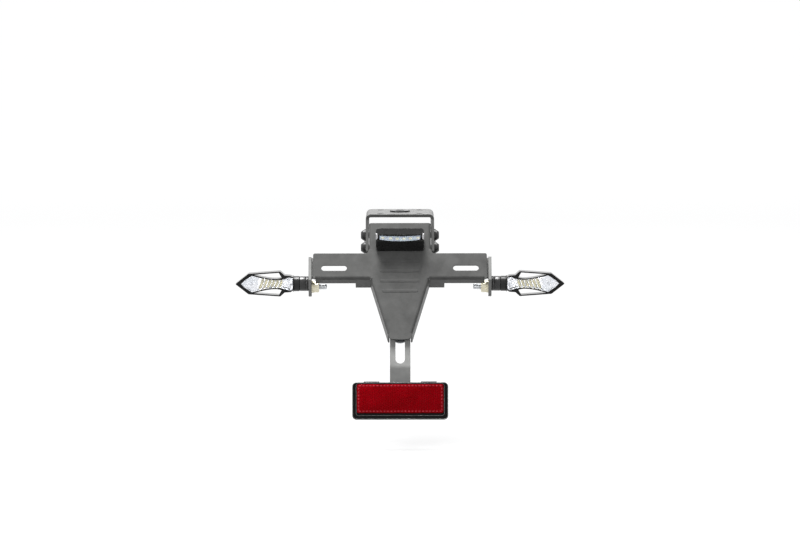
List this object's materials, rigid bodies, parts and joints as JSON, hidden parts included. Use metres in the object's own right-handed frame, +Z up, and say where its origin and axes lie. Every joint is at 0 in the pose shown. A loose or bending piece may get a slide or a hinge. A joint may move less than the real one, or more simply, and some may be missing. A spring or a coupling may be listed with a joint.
{
  "type": "tail tidy",
  "caption": "Folded licence plate holder for a motorbike tail, with licence lamp, arrow indicators on stems and a rear reflector on a slotted bar.",
  "frame": {"origin": "middle of the tail bolt pattern, on the top face of the tail mount", "axes": "+Z up, out of the top face; +Y forward along the machine; +X right as seen from behind"},
  "size_m": [0.3328, 0.1728, 0.2009],
  "materials": {
    "satin_black_steel": "satin black powder coat on folded steel sheet",
    "black_zinc": "black zinc plate",
    "bright_zinc": "bright zinc plate",
    "yellow_zinc": "pale yellow zinc plate",
    "black_rubber": "soft black rubber",
    "black_moulding": "satin black moulded plastic",
    "gloss_black_moulding": "gloss black moulded plastic",
    "red_lens": "red reflex lens with hexagonal prisms",
    "clear_lens": "clear moulded lens",
    "bright_tray": "silvered plastic tray",
    "circuit_board": "white solder mask",
    "led_chip": "yellow phosphor under clear resin"
  },
  "bodies": {
    "root": {"tail_mount": "satin_black_steel", "loom_grommet": "black_rubber", "plate_holder": "satin_black_steel", "indicator_strap": "satin_black_steel", "neck_bolts": "black_zinc", "neck_washers": "black_zinc", "neck_nuts": "bright_zinc", "strap_studs": "bright_zinc", "strap_spacers": "bright_zinc", "strap_washers": "bright_zinc", "strap_nuts": "bright_zinc", "bar_studs": "bright_zinc", "bar_spacers": "bright_zinc", "bar_washers": "bright_zinc", "bar_nuts": "bright_zinc", "reflector_bar": "satin_black_steel", "reflector_housing": "black_moulding", "reflector_lens": "red_lens", "reflector_studs": "bright_zinc", "reflector_washers": "bright_zinc", "reflector_nuts": "bright_zinc", "lamp_housing": "black_moulding", "lamp_gasket": "black_rubber", "lamp_lens": "clear_lens", "lamp_board": "circuit_board", "lamp_leds": "led_chip", "lamp_screws": "bright_zinc", "left_housing": "gloss_black_moulding", "left_lens": "clear_lens", "left_tray": "bright_tray", "left_board": "circuit_board", "left_leds": "led_chip", "left_collar": "black_moulding", "left_boot": "black_rubber", "left_stud": "bright_zinc", "left_washer": "yellow_zinc", "left_nut": "yellow_zinc", "right_housing": "gloss_black_moulding", "right_lens": "clear_lens", "right_tray": "bright_tray", "right_board": "circuit_board", "right_leds": "led_chip", "right_collar": "black_moulding", "right_boot": "black_rubber", "right_stud": "bright_zinc", "right_washer": "yellow_zinc", "right_nut": "yellow_zinc"}
  },
  "joints": []
}
